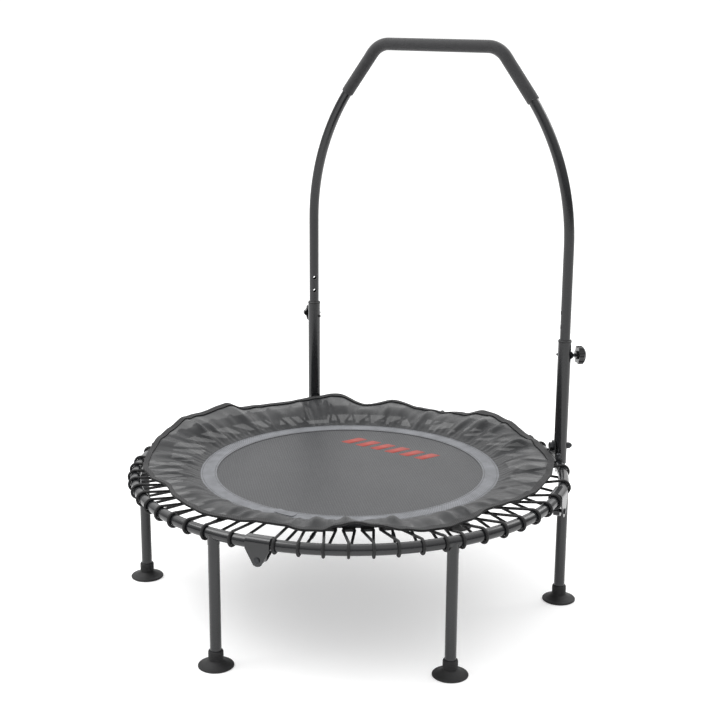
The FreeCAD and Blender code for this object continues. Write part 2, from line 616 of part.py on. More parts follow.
def cord_turn():
    """One turn round the tube with its two strands, at angle 0."""
    c = V(RING_R, 0, RING_HEIGHT)
    reach = RING_R - LOOP_OUT
    tilt = math.asin(WRAP_R / reach)
    top = c + V(-math.sin(tilt), 0, math.cos(tilt)) * WRAP_R
    bottom = V(top.x, 0, 2 * RING_HEIGHT - top.z)
    arc = Part.Arc(top, c + V(WRAP_R, 0, 0), bottom).toShape()
    ends = [polar(LOOP_OUT, s * CORD_SPREAD, RING_HEIGHT) for s in (-1, 1)]
    path = Part.Wire([Part.LineSegment(ends[0], top).toShape(), arc,
                      Part.LineSegment(bottom, ends[1]).toShape()])
    circle = Part.Wire(Part.Circle(ends[0], top - ends[0], CORD / 2).toShape())
    strands = path.makePipeShell([circle], True, False)
    core = cylinder(LOOP_OUT, V(0, 0, 0), V(0, 0, 2 * RING_HEIGHT))
    return strands.cut(core)


def cord_loop():
    """Webbing loop at the mat's edge that holds one turn, at angle 0."""
    half = LOOP_THICKNESS / 2
    z0 = RING_HEIGHT - half
    under = RING_HEIGHT - MAT_THICKNESS / 2
    points = [(MAT_RADIUS - LOOP_TAIL, under), (MAT_RADIUS - LOOP_TAIL, under - 1.6),
              (MAT_RADIUS - 1, under - 1.6), (MAT_RADIUS + 2, z0), (LOOP_OUT - 2, z0),
              (LOOP_OUT, z0 + 2), (LOOP_OUT, RING_HEIGHT + half - 2), (LOOP_OUT - 2, RING_HEIGHT + half),
              (MAT_RADIUS + 2, RING_HEIGHT + half), (MAT_RADIUS + RUN, RING_HEIGHT + 2),
              (MAT_RADIUS + RUN, under)]
    return revolved(points, -LOOP_HALF, 2 * LOOP_HALF)


def crimp():
    """Metal sleeve over one strand of a turn, at angle 0."""
    c = V(RING_R, 0, RING_HEIGHT)
    tilt = math.asin(WRAP_R / (RING_R - LOOP_OUT))
    bottom = c + V(-math.sin(tilt), 0, -math.cos(tilt)) * WRAP_R
    end = polar(LOOP_OUT, CORD_SPREAD, RING_HEIGHT)
    way = (bottom - end).normalize()
    start = end + way * 20
    return tube(CORD / 2 + 1.2, CORD / 2 + RUN, start, start + way * 14)


def in_rear(angle):
    return FIRST_HINGE < angle % 360 < FIRST_HINGE + 180


# ---- build --------------------------------------------------------------
os.makedirs("parts", exist_ok=True)

wraps = wrap_angles()
REAR_LEGS = [n for n, a in LEG_ANGLES.items() if in_rear(a)]
FRONT_LEGS = [n for n in LEG_ANGLES if n not in REAR_LEGS]

for name, start in (("right_rear", HINGES["right"]), ("left_rear", HINGES["rear"]),
                    ("left_front", HINGES["left"]), ("right_front", HINGES["front"])):
    quarter = ring_quarter(start)
    if name.endswith("rear"):
        for hole in bracket_holes(POSTS[name.split("_")[0]]):
            quarter = quarter.cut(hole)
    export("ring_" + name, quarter)

# The saddle is welded to the rear tube at the right and left hinges.
WELDED_SIDE = {"right": 1, "rear": 1, "left": -1, "front": 1}
for name, angle in HINGES.items():
    export("hinge_saddle_" + name, turned(hinge_saddle(WELDED_SIDE[name]), angle))
    export("hinge_tongue_" + name, turned(hinge_tongue(WELDED_SIDE[name]), angle))
    export("hinge_pin_" + name, turned(hinge_pin(), angle))

for name, angle in LEG_ANGLES.items():
    export("leg_" + name, leg(angle))
    export("foot_" + name, foot(angle))
for half, legs in (("rear", REAR_LEGS), ("front", FRONT_LEGS)):
    export("leg_sockets_" + half, group([leg_socket(LEG_ANGLES[n]) for n in legs]))
    export("leg_studs_" + half, group([leg_stud(LEG_ANGLES[n]) for n in legs]))

for side, angle in POSTS.items():
    export("post_bracket_" + side, turned(post_bracket(), angle))
    export("lower_post_" + side, lower_post(side))
    export("bushing_" + side, bushing(side))
    export("lock_screw_" + side, lock_screw(side))
    export("lock_knob_" + side, lock_knob(side))
export("bracket_fasteners", group([s for a in POSTS.values() for s in bracket_fasteners(a)]))
export("lock_bosses", group([lock_boss(side) for side in POSTS]))

right_tube = upper_tube()
export("upper_tube_right", right_tube)
export("upper_tube_left", mirrored(right_tube))
export("tube_joiner", joiner())
export("grip_right", grip(1))
export("grip_left", grip(-1))

turn, loop = cord_turn(), cord_loop()
for half in ("rear", "front"):
    export("mat_" + half, half_of(mat(), half))
    export("band_" + half, half_of(band(), half))
    export("skirt_" + half, half_of(skirt(), half))
    mine = [a for a in wraps if in_rear(a) == (half == "rear")]
    export("cords_" + half, group([turned(turn, a) for a in mine]))
    export("cord_loops_" + half, group([turned(loop, a) for a in mine]))

front = [a for a in wraps if not in_rear(a)]
export("cord_crimps", group([turned(crimp(), a) for a in front[6:26:4]]))
print("cord turns:", len(wraps), "smallest gap: %.2f deg" % min(b - a for a, b in zip(wraps, wraps[1:])))
print("arch:", ["%.1f" % v for v in arch_points()])
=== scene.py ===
# %% [markdown]
# # A mini trampoline in Blender
# The hard parts of this trampoline, its tubes, hinges, legs, screws and cords, come from a CAD model, in metres, with
# the floor at z = 0 and the handlebar on the +Y side. Here the soft parts are modelled: the woven mat, the webbing
# band sewn round it and the gathered skirt that covers its cords. Then every piece gets a material.
#
# We load the CAD model first and keep its size.

# %% Load the frame
import bpy, json, math, random
from mathutils import Matrix, Vector, noise


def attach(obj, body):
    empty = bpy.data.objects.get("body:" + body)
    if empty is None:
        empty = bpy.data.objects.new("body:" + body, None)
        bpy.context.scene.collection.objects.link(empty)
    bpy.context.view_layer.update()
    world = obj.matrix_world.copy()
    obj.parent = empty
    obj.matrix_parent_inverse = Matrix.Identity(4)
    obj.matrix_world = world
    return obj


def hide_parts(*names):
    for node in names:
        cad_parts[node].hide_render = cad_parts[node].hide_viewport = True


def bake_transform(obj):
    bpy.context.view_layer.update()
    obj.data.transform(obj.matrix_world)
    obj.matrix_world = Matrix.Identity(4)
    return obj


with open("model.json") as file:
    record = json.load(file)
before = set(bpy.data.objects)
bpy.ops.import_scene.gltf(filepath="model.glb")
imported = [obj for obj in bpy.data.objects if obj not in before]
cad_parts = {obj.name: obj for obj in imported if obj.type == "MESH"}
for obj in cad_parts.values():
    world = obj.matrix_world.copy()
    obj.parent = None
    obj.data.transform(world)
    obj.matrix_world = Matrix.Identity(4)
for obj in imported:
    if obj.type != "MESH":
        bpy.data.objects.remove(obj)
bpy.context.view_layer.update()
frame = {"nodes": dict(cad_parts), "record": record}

# %% [markdown]
# ## Camera
# Something a metre wide looks right through a longish lens from a little above, where round shapes keep their
# roundness. Blender's camera looks along its own -Z, so we build its rotation from the direction it looks
# in, its right hand and its up, and lean it by a third of a degree, as a tripod set by hand does.

# %% Place the camera
CAMERA_AT = (1.7567, -2.4720, 1.3238)
LOOKS = Vector((-0.55562, 0.79377, -0.24742)).normalized()
LEAN = math.radians(0.35)

cam_data = bpy.data.cameras.new("camera")
cam_data.lens = 69.75
cam_data.sensor_width = 36
camera = bpy.data.objects.new("camera", cam_data)
bpy.context.scene.collection.objects.link(camera)
right = LOOKS.cross(Vector((0, 0, 1))).normalized()
up = right.cross(LOOKS)
right, up = (right * math.cos(LEAN) + up * math.sin(LEAN), up * math.cos(LEAN) - right * math.sin(LEAN))
turn = Matrix((right, up, -LOOKS)).transposed()
camera.matrix_world = Matrix.Translation(CAMERA_AT) @ turn.to_4x4()
bpy.context.scene.camera = camera
print("camera at", [round(v, 3) for v in camera.location], "lens", cam_data.lens, "mm")

# %% [markdown]
# ## Colours and nodes
# Paint and cloth colours are known as sRGB hex values, as a paint chart gives them, but Blender's shaders add up
# light, which needs linear numbers. One function does that conversion for every colour here.
#
# Every material is a small graph of nodes. One short function adds a node, sets what it is given and links the rest,
# so that each material below reads as a list of what happens to its colour, its roughness and its bump: a Mix node
# blends two colours by a pattern, a MapRange node turns the pattern into a roughness, and a Bump node raises it.

# %% Colour and node helpers
def colour(text):
    """The linear colour of an sRGB hex value."""
    parts = [int(text[i:i + 2], 16) / 255 for i in (0, 2, 4)]
    return [c / 12.92 if c <= 0.04045 else ((c + 0.055) / 1.055) ** 2.4 for c in parts] + [1.0]


MM = 0.001
RGBA = {"data_type": "RGBA"}


def add_node(tree, kind, settings=(), into=None, output=0, **inputs):
    """Adds one node. settings are its own properties, and inputs its sockets by name, or by number as i0, i1 and so
    on, each with a value or another node's output. Its output number output goes into the socket into."""
    new = tree.nodes.new("ShaderNode" + kind)
    for key, value in dict(settings).items():
        setattr(new, key, value)
    for key, value in inputs.items():
        socket = new.inputs[int(key[1:]) if key[0] == "i" and key[1:].isdigit() else key.replace("_", " ")]
        if isinstance(value, bpy.types.NodeSocket):
            tree.links.new(value, socket)
        else:
            socket.default_value = value
    if into is not None:
        tree.links.new(new.outputs[output], into)
    return new


def new_material(name, base, rough, metal=0.0, **shader):
    """A material with one Principled shader; gives (material, tree, shader node, Object coordinates)."""
    mat = bpy.data.materials.new(name)
    mat.use_nodes = True
    tree = mat.node_tree
    bsdf = tree.nodes["Principled BSDF"]
    bsdf.inputs["Base Color"].default_value = colour(base)
    bsdf.inputs["Roughness"].default_value = rough
    bsdf.inputs["Metallic"].default_value = metal
    for key, value in shader.items():
        bsdf.inputs[key.replace("_", " ")].default_value = value
    where = add_node(tree, "TexCoord").outputs["Object"]
    return mat, tree, bsdf, where


print("helpers ready; mid grey 808080 is linear", round(colour("808080")[0], 3))

# %% [markdown]
# ## Metal finishes
# The ring, legs, posts and handlebar are mild steel tube with a satin powder coat. The powder melts into a skin with
# a faint orange peel, about 1.5 mm from crest to crest, and a satin shine with slightly duller patches where hands
# and shoes rub it. The hinge pins, screws and nuts are zinc plated, which is a true metal, darker and streaky.

# %% Powder coat and zinc
powder, tree, bsdf, where = new_material("satin_powder_coated_steel", "1b1c1e", 0.24, Coat_Weight=0.2,
                                         Coat_Roughness=0.12, Specular_IOR_Level=0.43)
peel = add_node(tree, "TexNoise", {}, Vector=where, Scale=650.0, Detail=2.0).outputs["Fac"]
patches = add_node(tree, "TexNoise", {}, Vector=where, Scale=22.0, Detail=5.0, Roughness=0.6).outputs["Fac"]
add_node(tree, "Mix", RGBA, bsdf.inputs["Base Color"], 2, i0=patches, i6=colour("121315"), i7=colour("1f2022"))
add_node(tree, "MapRange", {}, bsdf.inputs["Roughness"], Value=patches, To_Min=0.17, To_Max=0.3)
add_node(tree, "Bump", {}, bsdf.inputs["Normal"], Height=peel, Distance=0.06 * MM)

zinc, tree, bsdf, where = new_material("zinc_plated_steel", "3a3b3d", 0.35, 1.0)
streaks = add_node(tree, "TexNoise", {}, Vector=where, Scale=180.0, Detail=6.0, Roughness=0.7).outputs["Fac"]
add_node(tree, "Mix", RGBA, bsdf.inputs["Base Color"], 2, i0=streaks, i6=colour("2a2b2d"), i7=colour("4a4b4d"))
add_node(tree, "MapRange", {}, bsdf.inputs["Roughness"], Value=streaks, To_Min=0.28, To_Max=0.5)
add_node(tree, "Bump", {}, bsdf.inputs["Normal"], Height=streaks, Distance=0.05 * MM)
print("metals:", powder.name, zinc.name)

# %% [markdown]
# ## Rubber, foam and plastic
# The feet are moulded black rubber: matte, with a fine grain from the mould. The grips are closed-cell foam, whose
# skin shows small round cells, drawn 1.2 mm across. The bushings and lock knobs are moulded plastic, the first matte
# from a spark-eroded mould and the second nearly polished.

# %% Rubber, foam and plastics
rubber, tree, bsdf, where = new_material("moulded_black_rubber", "19191a", 0.7)
grain = add_node(tree, "TexNoise", {}, Vector=where, Scale=900.0, Detail=3.0).outputs["Fac"]
dust = add_node(tree, "TexNoise", {}, Vector=where, Scale=45.0, Detail=6.0, Roughness=0.65).outputs["Fac"]
add_node(tree, "Mix", RGBA, bsdf.inputs["Base Color"], 2, i0=dust, i6=colour("0c0c0d"), i7=colour("1a1a1b"))
add_node(tree, "MapRange", {}, bsdf.inputs["Roughness"], Value=dust, To_Min=0.58, To_Max=0.8)
add_node(tree, "Bump", {}, bsdf.inputs["Normal"], Height=grain, Distance=0.08 * MM)

CELL = 1.2 * MM
foam, tree, bsdf, where = new_material("closed_cell_foam", "1c1c1e", 0.82, Sheen_Weight=0.25, Sheen_Roughness=0.5)
cells = add_node(tree, "TexVoronoi", {}, Vector=where, Scale=1 / CELL).outputs["Distance"]
skin = add_node(tree, "TexNoise", {}, Vector=where, Scale=70.0, Detail=4.0).outputs["Fac"]
add_node(tree, "Mix", RGBA, bsdf.inputs["Base Color"], 2, i0=skin, i6=colour("161618"), i7=colour("262628"))
add_node(tree, "MapRange", {}, bsdf.inputs["Roughness"], Value=cells, To_Min=0.9, To_Max=0.68)
add_node(tree, "Bump", {}, bsdf.inputs["Normal"], Height=cells, Distance=0.18 * MM)

matte_plastic, tree, bsdf, where = new_material("moulded_polypropylene", "1d1d1e", 0.55)
grain = add_node(tree, "TexNoise", {}, Vector=where, Scale=1400.0, Detail=2.0).outputs["Fac"]
flow = add_node(tree, "TexNoise", {}, Vector=where, Scale=60.0, Detail=3.0).outputs["Fac"]
add_node(tree, "Mix", RGBA, bsdf.inputs["Base Color"], 2, i0=flow, i6=colour("171718"), i7=colour("242425"))
add_node(tree, "MapRange", {}, bsdf.inputs["Roughness"], Value=flow, To_Min=0.46, To_Max=0.62)
add_node(tree, "Bump", {}, bsdf.inputs["Normal"], Height=grain, Distance=0.04 * MM)

gloss_plastic, tree, bsdf, where = new_material("polished_black_abs", "0c0c0d", 0.14, Specular_IOR_Level=0.42)
ripple = add_node(tree, "TexNoise", {}, Vector=where, Scale=120.0, Detail=2.0).outputs["Fac"]
add_node(tree, "Mix", RGBA, bsdf.inputs["Base Color"], 2, i0=ripple, i6=colour("09090a"), i7=colour("141415"))
add_node(tree, "MapRange", {}, bsdf.inputs["Roughness"], Value=ripple, To_Min=0.08, To_Max=0.2)
add_node(tree, "Bump", {}, bsdf.inputs["Normal"], Height=ripple, Distance=0.05 * MM)
print("rubber, foam and two plastics")

# %% [markdown]
# ## Woven and braided finishes
# The mat is woven polypropylene tape. Its real tapes are about 1.5 mm wide, too fine for a render to show, so the
# weave is drawn with 4 mm tapes: two sets of waves at right angles, with a checker that says which tape lies on top.
# The webbing loops and the cord's braided cover are black polyester; the braid is drawn as two crossing sets of
# slanted ribs, 2.5 mm apart.

# %% Mat, webbing and bungee finishes
WAVE = math.pi / 10    # a wave texture of this scale repeats every metre
mat_weave, tree, bsdf, where = new_material("woven_polypropylene_mat", "343537", 0.36, Specular_IOR_Level=0.27)
TAPE = 4 * MM
warp = add_node(tree, "TexWave", {"bands_direction": "X"}, Vector=where, Scale=WAVE / TAPE).outputs["Fac"]
weft = add_node(tree, "TexWave", {"bands_direction": "Y"}, Vector=where, Scale=WAVE / TAPE).outputs["Fac"]
over = add_node(tree, "TexChecker", {}, Vector=where, Scale=1 / TAPE).outputs["Fac"]
tapes = add_node(tree, "Mix", {"data_type": "FLOAT"}, i0=over, i2=warp, i3=weft).outputs[0]
uneven = add_node(tree, "TexNoise", {}, Vector=where, Scale=9.0, Detail=6.0, Roughness=0.6).outputs["Fac"]
clouds = add_node(tree, "Math", {"operation": "MULTIPLY_ADD"}, i0=uneven, i1=0.7, i2=-0.1).outputs[0]
shade = add_node(tree, "Math", {"operation": "MULTIPLY_ADD"}, i0=tapes, i1=0.45, i2=clouds).outputs[0]
add_node(tree, "Mix", RGBA, bsdf.inputs["Base Color"], 2, i0=shade, i6=colour("28292b"), i7=colour("3d3e40"))
add_node(tree, "MapRange", {}, bsdf.inputs["Roughness"], Value=tapes, To_Min=0.46, To_Max=0.3)
add_node(tree, "Bump", {}, bsdf.inputs["Normal"], Height=tapes, Distance=0.25 * MM)


def braid(name, dark, bright, rib_mm, rough):
    """Black polyester with fine slanted ribs, for webbing and braided cord."""
    mat, tree, bsdf, where = new_material(name, dark, rough)
    scale = WAVE / (rib_mm * MM)
    one = add_node(tree, "TexWave", {"bands_direction": "DIAGONAL"}, Vector=where, Scale=scale).outputs["Fac"]
    flipped = add_node(tree, "Mapping", {}, Vector=where, Scale=(1, -1, 1)).outputs["Vector"]
    two = add_node(tree, "TexWave", {"bands_direction": "DIAGONAL"}, Vector=flipped, Scale=scale).outputs["Fac"]
    ribs = add_node(tree, "Math", {"operation": "MULTIPLY"}, i0=one, i1=two).outputs[0]
    fuzz = add_node(tree, "TexNoise", {}, Vector=where, Scale=300.0, Detail=4.0).outputs["Fac"]
    light = add_node(tree, "Math", {"operation": "MULTIPLY_ADD"}, i0=fuzz, i1=0.5, i2=ribs).outputs[0]
    add_node(tree, "Mix", RGBA, bsdf.inputs["Base Color"], 2, i0=light, i6=colour(dark), i7=colour(bright))
    add_node(tree, "MapRange", {}, bsdf.inputs["Roughness"], Value=ribs, To_Min=rough + 0.12, To_Max=rough - 0.08)
    add_node(tree, "Bump", {}, bsdf.inputs["Normal"], Height=ribs, Distance=0.3 * MM)
    return mat


bungee = braid("braided_polyester_bungee", "060607", "131315", 2.5, 0.6)
loop_tape = braid("black_polyester_webbing", "0e0e0f", "232325", 1.8, 0.65)
binding_tape = braid("black_binding_tape", "0b0b0c", "1b1b1d", 3.0, 0.6)
print("woven:", mat_weave.name, bungee.name, loop_tape.name)

# %% [markdown]
# ## Finish the CAD parts
# Each CAD node knows the material slot it takes its finish from. We only swap the material in its slot: a CAD part
# is never moved and its mesh is never touched, so that its sizes stay the ones that were checked. The solids of the
# mat, the band and the skirt are only stand-ins, and the cloths modelled below take their places.

# %% Put the finishes on the CAD nodes
FINISH = {"frame_paint": powder, "steel": zinc, "foot_rubber": rubber, "grip_foam": foam,
          "bushing_plastic": matte_plastic, "knob_plastic": gloss_plastic, "mat_fabric": mat_weave,
          "band_webbing": mat_weave, "skirt_fabric": loop_tape, "loop_webbing": loop_tape, "bungee_cord": bungee}


def wear(obj, mat):
    """obj wears mat in all its slots."""
    if not obj.material_slots:
        obj.data.materials.append(mat)
    for place in obj.material_slots:
        place.material = mat


for row in frame["record"]["subparts"]:
    wear(frame["nodes"][row["node"]], FINISH[row["material_slot"]])

# %% [markdown]
# ## Modelling by hand, in code
# Every cloth starts from one of Blender's primitives and is shaped in edit mode with the same tools as by hand. An
# operator acts on everything that is selected, so we always deselect first. A finished piece keeps its place in its
# mesh: its object stays at the origin, unturned and unscaled, so that patterns measured on it keep their real size.

# %% Modelling helpers
def only(obj):
    """Selects obj alone and makes it active."""
    bpy.ops.object.select_all(action="DESELECT")
    obj.select_set(True)
    bpy.context.view_layer.objects.active = obj


def primitive(name, add, **settings):
    """Adds a primitive with nothing else selected and names it."""
    bpy.ops.object.select_all(action="DESELECT")
    add(**settings)
    obj = bpy.context.active_object
    obj.name = name
    obj.data.name = name
    return obj


def settle(obj, smooth=35):
    """The object's place goes into its mesh, and its shading is smooth up to an angle."""
    only(obj)
    bpy.ops.object.transform_apply(location=True, rotation=True, scale=True)
    bpy.ops.object.shade_smooth_by_angle(angle=math.radians(smooth))


def apply_modifier(obj, kind, **settings):
    """Adds a modifier and applies it at once."""
    only(obj)
    mod = obj.modifiers.new(kind.lower(), kind)
    for key, value in settings.items():
        setattr(mod, key, value)
    bpy.ops.object.modifier_apply(modifier=mod.name)


print("helpers ready:", ", ".join(f.__name__ for f in (only, primitive, settle, apply_modifier)))

# %% [markdown]
# ## The fold line
# The ring folds in half like a book, on a line 14 degrees off the X axis, 31 mm under the ring. It needs vertices to
# bend at, so each flat cloth is cut with a few bisects parallel to the line.

# %% Fold helpers
FOLD = math.radians(14)
ALONG = Vector((math.cos(FOLD), math.sin(FOLD), 0))
ACROSS = Vector((-math.sin(FOLD), math.cos(FOLD), 0))
CUTS, CUT_STEP = 4, 0.006


def cut_at_fold(obj):
    """Cuts the mesh parallel to the fold line, so that it has points to bend at."""
    only(obj)
    bpy.ops.object.mode_set(mode="EDIT")
    for i in range(-CUTS, CUTS + 1):
        bpy.ops.mesh.select_all(action="SELECT")
        bpy.ops.mesh.bisect(plane_co=ACROSS * (i * CUT_STEP), plane_no=ACROSS)
    bpy.ops.object.mode_set(mode="OBJECT")


def bend_at_fold(obj):
    """Bakes the piece's place into its mesh; the piece is not bent."""
    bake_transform(obj)


print("fold line along", [round(v, 3) for v in ALONG])

# %% [markdown]
# ## The mat
# A round of woven cloth 732 mm across, held flat as a drum by 51 cord turns. We start from a filled circle, inset it
# a few times so that it has rings of faces, and let its middle hang by half a millimetre, because even a tight mat
# isn't a steel plate. Solidify then gives it the cloth's thickness.

# %% Model the mat
MAT_R, MAT_TOP = 0.366, 0.29075
SAG, SAG_R = 0.0006, 0.31
mat = primitive("mat", bpy.ops.mesh.primitive_circle_add, vertices=192, radius=MAT_R, fill_type="NGON",
                location=(0, 0, MAT_TOP))
bpy.ops.object.mode_set(mode="EDIT")
for width in (0.052, 0.06, 0.06, 0.06, 0.06, 0.05):
    bpy.ops.mesh.inset(thickness=width, depth=0)
bpy.ops.object.mode_set(mode="OBJECT")
settle(mat)


def sag(obj):
    """Lowers the points near the middle of the mat, as its weight does."""
    for v in obj.data.vertices:
        inside = min(1.0, v.co.to_2d().length / SAG_R)
        v.co.z -= SAG * (1 - inside ** 2)


sag(mat)
cut_at_fold(mat)
apply_modifier(mat, "SOLIDIFY", thickness=0.0014, offset=-1)
wear(mat, mat_weave)
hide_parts("mat_rear", "mat_front")
bend_at_fold(mat)
print("mat:", len(mat.data.polygons), "faces")

# %% [markdown]
# ## The webbing band
# A grey polyester webbing, 64 mm wide, is sewn over the mat's edge and carries the loops for the cords. It was cut as
# a strip and eased round the circle. We model it as a ring with a rolled edge on each side, and give it a UV map that
# runs along and across the strip, because a weave follows its strip, not the room.

# %% Model the band
BAND_IN, BAND_MID = 0.302, 0.334
BAND_LOW, BAND_HIGH = 0.29082, 0.2922
band = primitive("band", bpy.ops.mesh.primitive_circle_add, vertices=360, radius=BAND_IN, location=(0, 0, BAND_LOW))
bpy.ops.object.mode_set(mode="EDIT")
# Each ring's radius, and how high it stands between BAND_LOW and BAND_HIGH; 0.72 is the groove under a stitch row.
rings = [(0.3021, 0.6), (0.3036, 1.0), (0.3062, 1.0), (0.3066, 0.72), (0.3074, 0.72), (0.3078, 1.0), (0.314, 1.0),
         (0.322, 1.0), (0.330, 1.0), (0.3345, 1.0), (0.3350, 0.72), (0.3358, 0.72), (0.3363, 1.0), (0.350, 1.0),
         (0.3658, 0.6), (0.366, 0.0)]
before, low = BAND_IN, 0.0
for radius, rise in rings:
    bpy.ops.mesh.extrude_region_move()
    grow = radius / before
    bpy.ops.transform.resize(value=(grow, grow, 1), center_override=(0, 0, BAND_LOW))
    bpy.ops.transform.translate(value=(0, 0, (rise - low) * (BAND_HIGH - BAND_LOW)))
    before, low = radius, rise
bpy.ops.object.mode_set(mode="OBJECT")
settle(band)
cut_at_fold(band)
print("band:", len(band.data.polygons), "faces,", round(2 * math.pi * BAND_MID, 3), "m of webbing")

# %% [markdown]
# A band's UV map has metres in both directions: U is the arc length at the middle of the strip and V the distance
# from its inner edge. The skirt gets the same kind of map, so both can show threads at their real size.

# %% UV maps in metres, round a ring
def ring_uv(obj, inner, middle):
    """U runs round the ring at radius middle and V outwards from radius inner, both in metres."""
    layer = obj.data.uv_layers.new(name="strip")
    for face in obj.data.polygons:
        angles = [math.atan2(obj.data.vertices[v].co.y, obj.data.vertices[v].co.x) for v in face.vertices]
        wraps = max(angles) - min(angles) > math.pi
        for loop, angle in zip(face.loop_indices, angles):
            if wraps and angle < 0:
                angle += 2 * math.pi
            co = obj.data.vertices[obj.data.loops[loop].vertex_index].co
            layer.data[loop].uv = (angle * middle, co.to_2d().length - inner)


ring_uv(band, BAND_IN, BAND_MID)
print("band has the UV map", band.data.uv_layers[0].name)

# %% Webbing material
webbing, tree, bsdf, where = new_material("grey_polyester_webbing", "6c6e72", 0.6, Sheen_Weight=0.15)
strip = add_node(tree, "UVMap", {"uv_map": "strip"}).outputs["UV"]
along = add_node(tree, "SeparateXYZ", {}, Vector=strip)
# Real ribs are 1.2 mm apart; 3.4 mm shows them from three metres away.
ribs = add_node(tree, "TexWave", {"bands_direction": "DIAGONAL"}, Vector=strip, Scale=WAVE / (3.4 * MM),
                Distortion=0.6).outputs["Fac"]
grime = add_node(tree, "TexNoise", {}, Vector=where, Scale=28.0, Detail=7.0, Roughness=0.7).outputs["Fac"]
worn = add_node(tree, "MapRange", {}, Value=grime, From_Min=0.3, From_Max=0.7).outputs["Result"]
speck = add_node(tree, "TexNoise", {}, Vector=strip, Scale=420.0, Detail=3.0).outputs["Fac"]
tone = add_node(tree, "Math", {"operation": "MULTIPLY_ADD"}, i0=ribs, i1=0.35, i2=worn).outputs[0]
tone = add_node(tree, "Math", {"operation": "MULTIPLY_ADD"}, i0=speck, i1=0.4, i2=tone).outputs[0]
tone = add_node(tree, "Math", {"operation": "MULTIPLY"}, i0=tone, i1=0.6).outputs[0]
cloth = add_node(tree, "Mix", RGBA, i0=tone, i6=colour("393b3f"), i7=colour("6e7075")).outputs[2]
# Two rows of dark stitches lie in the grooves, 5 and 33.4 mm from the inner edge, about 5 mm long each.
zigzag = add_node(tree, "Math", {"operation": "PINGPONG"}, i0=along.outputs["X"], i1=3.5 * MM).outputs[0]
dash = add_node(tree, "Math", {"operation": "GREATER_THAN"}, i0=zigzag, i1=0.9 * MM).outputs[0]
over_edge = along.outputs["Y"]
row_in = add_node(tree, "Math", {"operation": "COMPARE"}, i0=over_edge, i1=5 * MM, i2=0.8 * MM).outputs[0]
row_out = add_node(tree, "Math", {"operation": "COMPARE"}, i0=over_edge, i1=33.4 * MM, i2=0.8 * MM).outputs[0]
rows = add_node(tree, "Math", {"operation": "MAXIMUM"}, i0=row_in, i1=row_out).outputs[0]
stitched = add_node(tree, "Math", {"operation": "MULTIPLY"}, i0=rows, i1=dash).outputs[0]
# The strip is darker in a 1.6 mm line along its inner edge.
edge_in = add_node(tree, "Math", {"operation": "LESS_THAN"}, i0=over_edge, i1=1.6 * MM).outputs[0]
dark = add_node(tree, "Math", {"operation": "MAXIMUM"}, i0=stitched, i1=edge_in).outputs[0]
add_node(tree, "Mix", RGBA, bsdf.inputs["Base Color"], 2, i0=dark, i6=cloth, i7=colour("2e2f31"))
add_node(tree, "MapRange", {}, bsdf.inputs["Roughness"], Value=ribs, To_Min=0.72, To_Max=0.52)
add_node(tree, "Bump", {}, bsdf.inputs["Normal"], Height=ribs, Distance=0.25 * MM)
wear(band, webbing)
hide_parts("band_rear", "band_front")
bend_at_fold(band)
print("band is sewn on:", webbing.name)

# %% [markdown]
# Near the front, the end of the webbing is turned over and tacked down on the strip's own beginning, where it stands
# up a little as a round-cornered tab. We make it from a flat plane with bevelled corners, give it the webbing's
# thickness, and lay its points on the band's curve with the free end curling up.

# %% Model the webbing's end
tab = primitive("band_end", bpy.ops.mesh.primitive_plane_add, size=1, location=(0, 0, 0))
TAB_LONG, TAB_WIDE = 0.046, 0.021
tab.scale = (TAB_LONG, TAB_WIDE, 1)
settle(tab)
bpy.ops.object.mode_set(mode="EDIT")
bpy.ops.mesh.select_all(action="SELECT")
bpy.ops.mesh.bevel(offset=0.006, segments=5, affect="VERTICES")
for i in range(-3, 4):
    bpy.ops.mesh.select_all(action="SELECT")
    bpy.ops.mesh.bisect(plane_co=(i * 0.005, 0, 0), plane_no=(1, 0, 0))
bpy.ops.object.mode_set(mode="OBJECT")
apply_modifier(tab, "SOLIDIFY", thickness=0.0013, offset=1)
TAB_AT, TAB_R = math.radians(280.8), 0.321
TAB_GAP, TAB_CURL = 0.00015, 0.004
for v in tab.data.vertices:
    angle, radius = TAB_AT + v.co.x / TAB_R, TAB_R - v.co.y
    curl = TAB_CURL * max(0.0, 0.5 - v.co.x / TAB_LONG) ** 2
    v.co = (math.cos(angle) * radius, math.sin(angle) * radius, BAND_HIGH + TAB_GAP + v.co.z + curl)
settle(tab)
ring_uv(tab, BAND_IN, BAND_MID)
wear(tab, webbing)
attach(tab, "front_half")
print("webbing end:", len(tab.data.polygons), "faces")

# %% [markdown]
# ## The skirt
# The skirt is a strip of thin, shiny polyester cloth. Its inner edge is sewn to the webbing, and its outer edge has
# an elastic in a black binding, so the cloth gathers into soft radial folds and the edge rises and dips over the
# cords. We grow it from a circle by extruding its edge outwards ring by ring, and then move every point up by four
# things: the slope over the loops and cords, the long waves of the edge, the gathers, and a little fullness.

# %% Grow the flat ring
SEAM_R, SKIRT_MID, EDGE_R = 0.340, 0.405, 0.452
SHARES = [i / 16 for i in range(15)] + [0.91, 0.955, 1.0]
STEPS = [SEAM_R + (EDGE_R - SEAM_R) * share for share in SHARES]
COUNT = 1440
skirt = primitive("skirt", bpy.ops.mesh.primitive_circle_add, vertices=COUNT, radius=SEAM_R, location=(0, 0, 0))
bpy.ops.object.mode_set(mode="EDIT")
for inner, outer in zip(STEPS, STEPS[1:]):
    bpy.ops.mesh.extrude_region_move()
    bpy.ops.transform.resize(value=(outer / inner, outer / inner, 1), center_override=(0, 0, 0))
bpy.ops.object.mode_set(mode="OBJECT")
settle(skirt, 80)
ring_uv(skirt, SEAM_R, SKIRT_MID)
print("flat skirt:", len(skirt.data.polygons), "faces")

